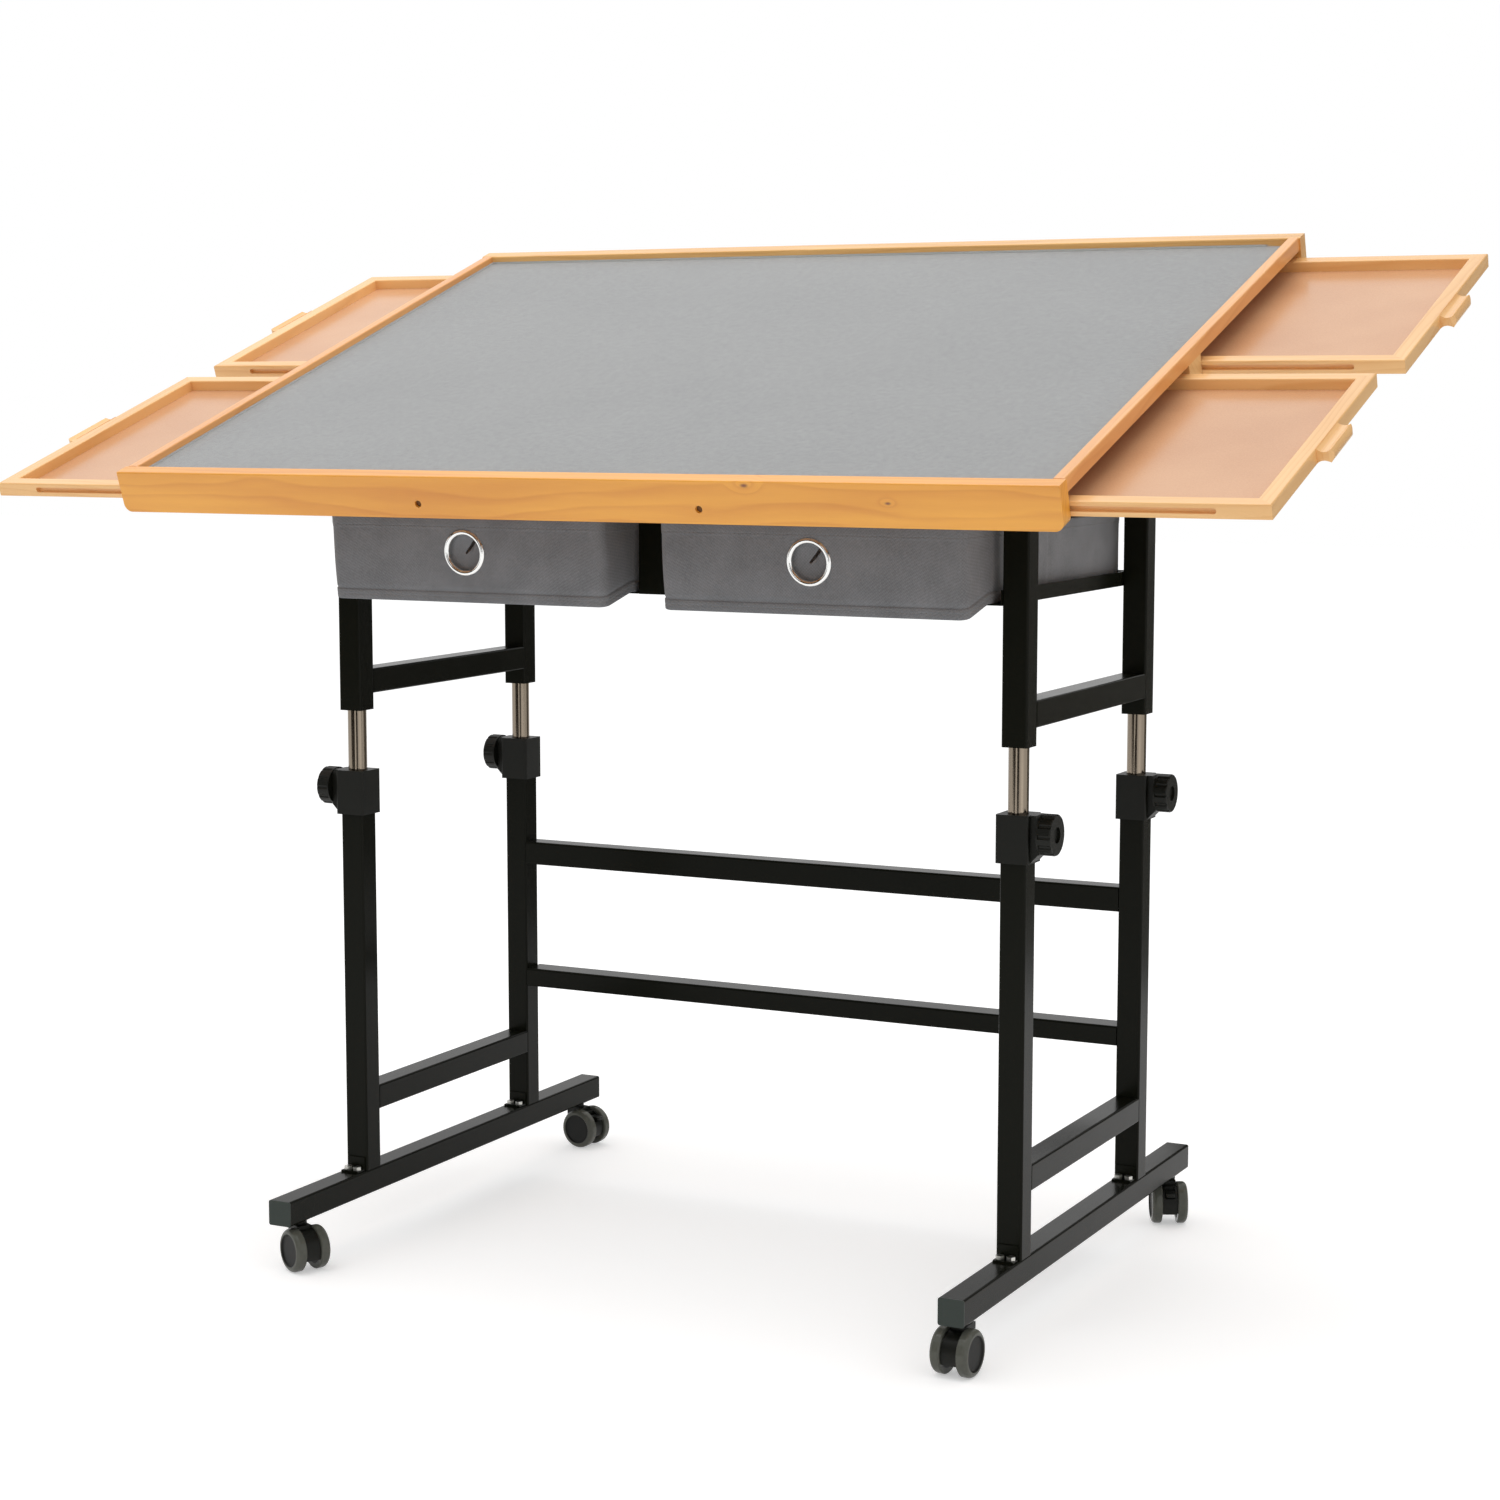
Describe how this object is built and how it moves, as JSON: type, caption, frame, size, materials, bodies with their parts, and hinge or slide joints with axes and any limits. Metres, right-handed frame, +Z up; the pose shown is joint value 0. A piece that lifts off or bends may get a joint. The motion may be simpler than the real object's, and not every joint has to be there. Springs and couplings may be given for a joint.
{
  "type": "jigsaw puzzle table",
  "caption": "Tilting jigsaw puzzle table on casters, with a felt-topped pine tray, clear cover, flat side drawers, fabric bins and a steel frame that telescopes.",
  "frame": {"origin": "on the floor, under the middle of the table's overall size with the drawers standing open as modelled", "axes": "+X across the table to the right of whoever sits at it, +Y towards its back, +Z up; the tray slopes up towards +Y"},
  "size_m": [1.33, 0.6906, 1.019],
  "materials": {
    "powder_coated_steel": "satin",
    "plug_plastic": "matte",
    "black_plastic": "satin",
    "zinc_plated_steel": "satin",
    "chromed_steel": "polished",
    "rubber_pad": "matte",
    "caster_tread": "gloss",
    "pine": "satin lacquer",
    "hardboard": "matte",
    "grey_felt": "napped",
    "bin_fabric": "woven",
    "clear_acrylic": "polished"
  },
  "bodies": {
    "base": {"foot_bars": "powder_coated_steel", "foot_end_plugs": "plug_plastic", "lower_legs_left": "powder_coated_steel", "lower_legs_right": "powder_coated_steel", "lower_cross_bars": "powder_coated_steel", "upper_stretcher": "powder_coated_steel", "lower_stretcher": "powder_coated_steel", "leg_collars": "black_plastic", "base_brackets": "powder_coated_steel", "base_bolts": "zinc_plated_steel"},
    "upper_frame": {"upper_legs_left": "powder_coated_steel", "upper_legs_right": "powder_coated_steel", "lift_rods": "chromed_steel", "upper_cross_bars": "powder_coated_steel", "side_top_bars": "powder_coated_steel", "end_top_bars": "powder_coated_steel", "bin_side_rails": "powder_coated_steel", "bin_centre_runner": "powder_coated_steel", "bin_hanger_plates": "powder_coated_steel", "upper_frame_bolts": "zinc_plated_steel", "tilt_pivot_bolts": "zinc_plated_steel", "rest_pads": "rubber_pad"},
    "tray": {"front_rail": "pine", "back_rail": "pine", "tray_side_rails": "pine", "drawer_dividers": "pine", "tray_board": "hardboard", "felt_sheet": "grey_felt", "drawer_runners": "pine", "tilt_arms": "powder_coated_steel", "tray_screws": "zinc_plated_steel"},
    "cover": {"cover": "clear_acrylic"},
    "bin_left": {"bin_left": "bin_fabric", "bin_ring_left": "chromed_steel"},
    "bin_right": {"bin_right": "bin_fabric", "bin_ring_right": "chromed_steel"},
    "tilt_knob_left": {"tilt_knob_left": "black_plastic"},
    "tilt_knob_right": {"tilt_knob_right": "black_plastic"},
    "drawer_front_left": {"drawer_frame_front_left": "pine", "drawer_bottom_front_left": "hardboard"},
    "height_knob_front_left": {"height_knob_front_left": "black_plastic"},
    "caster_body_front_left": {"caster_body_front_left": "black_plastic"},
    "caster_wheels_front_left": {"caster_wheels_front_left": "caster_tread"},
    "drawer_back_left": {"drawer_frame_back_left": "pine", "drawer_bottom_back_left": "hardboard"},
    "height_knob_back_left": {"height_knob_back_left": "black_plastic"},
    "caster_body_back_left": {"caster_body_back_left": "black_plastic"},
    "caster_wheels_back_left": {"caster_wheels_back_left": "caster_tread"},
    "caster_brake_back_left": {"caster_brake_back_left": "black_plastic"},
    "drawer_front_right": {"drawer_frame_front_right": "pine", "drawer_bottom_front_right": "hardboard"},
    "height_knob_front_right": {"height_knob_front_right": "black_plastic"},
    "caster_body_front_right": {"caster_body_front_right": "black_plastic"},
    "caster_wheels_front_right": {"caster_wheels_front_right": "caster_tread"},
    "drawer_back_right": {"drawer_frame_back_right": "pine", "drawer_bottom_back_right": "hardboard"},
    "height_knob_back_right": {"height_knob_back_right": "black_plastic"},
    "caster_body_back_right": {"caster_body_back_right": "black_plastic"},
    "caster_wheels_back_right": {"caster_wheels_back_right": "caster_tread"},
    "caster_brake_back_right": {"caster_brake_back_right": "black_plastic"}
  },
  "joints": [
    {"name": "height_adjust", "type": "slide", "parent": "base", "child": "upper_frame", "axis": [0, 0, 1], "range_m": [-0.06, 0.14]},
    {"name": "tray_tilt", "type": "hinge", "parent": "upper_frame", "child": "tray", "pos_m": [-0.0105, -0.12482, 0.8049], "axis": [1, 0, 0], "range_deg": [-19, 0]},
    {"name": "cover_lift", "type": "slide", "parent": "tray", "child": "cover", "axis": [0, -0.3256, 0.9455], "range_m": [0, 0.15]},
    {"name": "drawer_slide_front_left", "type": "slide", "parent": "tray", "child": "drawer_front_left", "axis": [-1, 0, 0], "range_m": [-0.166, 0.134]},
    {"name": "drawer_slide_back_left", "type": "slide", "parent": "tray", "child": "drawer_back_left", "axis": [-1, 0, 0], "range_m": [-0.156, 0.144]},
    {"name": "drawer_slide_front_right", "type": "slide", "parent": "tray", "child": "drawer_front_right", "axis": [1, 0, 0], "range_m": [-0.171, 0.129]},
    {"name": "drawer_slide_back_right", "type": "slide", "parent": "tray", "child": "drawer_back_right", "axis": [1, 0, 0], "range_m": [-0.187, 0.113]},
    {"name": "bin_slide_left", "type": "slide", "parent": "upper_frame", "child": "bin_left", "axis": [0, -1, 0], "range_m": [0, 0.3]},
    {"name": "bin_slide_right", "type": "slide", "parent": "upper_frame", "child": "bin_right", "axis": [0, -1, 0], "range_m": [0, 0.3]},
    {"name": "height_knob_turn_front_left", "type": "hinge", "parent": "base", "child": "height_knob_front_left", "pos_m": [-0.367, -0.12482, 0.4663], "axis": [-1, 0, 0], "continuous": true},
    {"name": "height_knob_turn_back_left", "type": "hinge", "parent": "base", "child": "height_knob_back_left", "pos_m": [-0.367, 0.19318, 0.4663], "axis": [-1, 0, 0], "continuous": true},
    {"name": "height_knob_turn_front_right", "type": "hinge", "parent": "base", "child": "height_knob_front_right", "pos_m": [0.346, -0.12482, 0.4663], "axis": [1, 0, 0], "continuous": true},
    {"name": "height_knob_turn_back_right", "type": "hinge", "parent": "base", "child": "height_knob_back_right", "pos_m": [0.346, 0.19318, 0.4663], "axis": [1, 0, 0], "continuous": true},
    {"name": "tilt_knob_turn_left", "type": "hinge", "parent": "upper_frame", "child": "tilt_knob_left", "pos_m": [-0.3405, 0.02497, 0.7969], "axis": [-1, 0, 0], "continuous": true},
    {"name": "tilt_knob_turn_right", "type": "hinge", "parent": "upper_frame", "child": "tilt_knob_right", "pos_m": [0.3195, 0.02497, 0.7969], "axis": [1, 0, 0], "continuous": true},
    {"name": "caster_swivel_front_left", "type": "hinge", "parent": "base", "child": "caster_body_front_left", "pos_m": [-0.367, -0.24142, 0.046], "axis": [0, 0, 1], "continuous": true},
    {"name": "caster_roll_front_left", "type": "hinge", "parent": "caster_body_front_left", "child": "caster_wheels_front_left", "pos_m": [-0.35464, -0.24799, 0.0217], "axis": [0.4695, 0.8829, 0], "continuous": true},
    {"name": "caster_swivel_back_left", "type": "hinge", "parent": "base", "child": "caster_body_back_left", "pos_m": [-0.367, 0.30978, 0.046], "axis": [0, 0, 1], "continuous": true},
    {"name": "caster_roll_back_left", "type": "hinge", "parent": "caster_body_back_left", "child": "caster_wheels_back_left", "pos_m": [-0.35314, 0.30784, 0.0217], "axis": [0.1392, 0.9903, 0], "continuous": true},
    {"name": "caster_brake_back_left", "type": "hinge", "parent": "caster_body_back_left", "child": "caster_brake_back_left", "pos_m": [-0.34422, 0.30658, 0.033], "axis": [0.1392, 0.9903, 0], "range_deg": [-20, 0]},
    {"name": "caster_swivel_front_right", "type": "hinge", "parent": "base", "child": "caster_body_front_right", "pos_m": [0.346, -0.24142, 0.046], "axis": [0, 0, 1], "continuous": true},
    {"name": "caster_roll_front_right", "type": "hinge", "parent": "caster_body_front_right", "child": "caster_wheels_front_right", "pos_m": [0.34527, -0.2554, 0.0217], "axis": [0.9986, -0.0523, 0], "continuous": true},
    {"name": "caster_swivel_back_right", "type": "hinge", "parent": "base", "child": "caster_body_back_right", "pos_m": [0.346, 0.30978, 0.046], "axis": [0, 0, 1], "continuous": true},
    {"name": "caster_roll_back_right", "type": "hinge", "parent": "caster_body_back_right", "child": "caster_wheels_back_right", "pos_m": [0.35214, 0.2972, 0.0217], "axis": [0.8988, 0.4384, 0], "continuous": true},
    {"name": "caster_brake_back_right", "type": "hinge", "parent": "caster_body_back_right", "child": "caster_brake_back_right", "pos_m": [0.35608, 0.28911, 0.033], "axis": [0.8988, 0.4384, 0], "range_deg": [-20, 0]}
  ]
}
